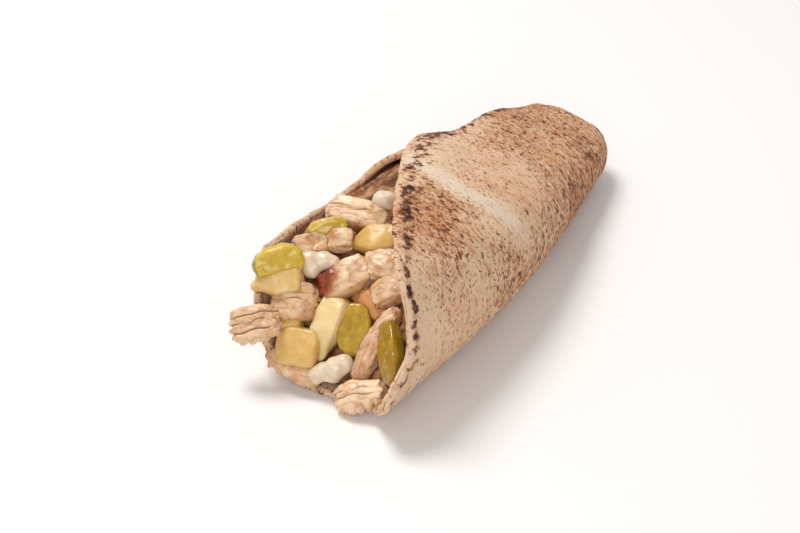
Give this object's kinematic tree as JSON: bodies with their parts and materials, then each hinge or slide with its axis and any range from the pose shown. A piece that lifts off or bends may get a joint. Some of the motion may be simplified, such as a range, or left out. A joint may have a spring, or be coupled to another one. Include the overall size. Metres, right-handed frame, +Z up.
{
  "type": "gyro wrap",
  "caption": "Flatbread rolled round a filling of sliced chicken, potato and pickle with white sauce, open at one end and folded shut at the other.",
  "frame": {"origin": "middle of the bounding box's underside, on the floor the wrap lies on", "axes": "+Y along the roll from its open mouth to its folded tail, +Z up, +X towards the side on which the flap closes over the filling"},
  "size_m": [0.0838, 0.2169, 0.0684],
  "materials": {
    "flatbread": "toasted flatbread, matt, with brown scorch flecks",
    "filling": "moist cut meat",
    "chicken": "cooked chicken, moist, browned at its edges",
    "potato": "fried potato, softly shiny",
    "pickle": "wet pickled cucumber",
    "sauce": "thick white sauce, shiny"
  },
  "bodies": {
    "root": {"flatbread": "flatbread", "filling": "filling", "potato_cube": "potato", "potato_tall": "potato", "potato_small": "potato", "potato_wedge_left": "potato", "potato_wedge_right": "potato", "pickle_left": "pickle", "pickle_middle": "pickle", "pickle_right": "pickle", "pickle_sliver": "pickle", "sauce_upper": "sauce", "sauce_lower": "sauce", "sauce_top": "sauce", "chicken_left": "chicken", "chicken_outer": "chicken", "chicken_charred": "chicken", "chicken_folded": "chicken", "chicken_ragged_1": "chicken", "chicken_ragged_2": "chicken", "chicken_top": "chicken", "chicken_slice_1": "chicken", "chicken_slice_2": "chicken", "chicken_shreds": "chicken", "chicken_thin": "chicken", "chicken_pink": "chicken"}
  },
  "joints": []
}
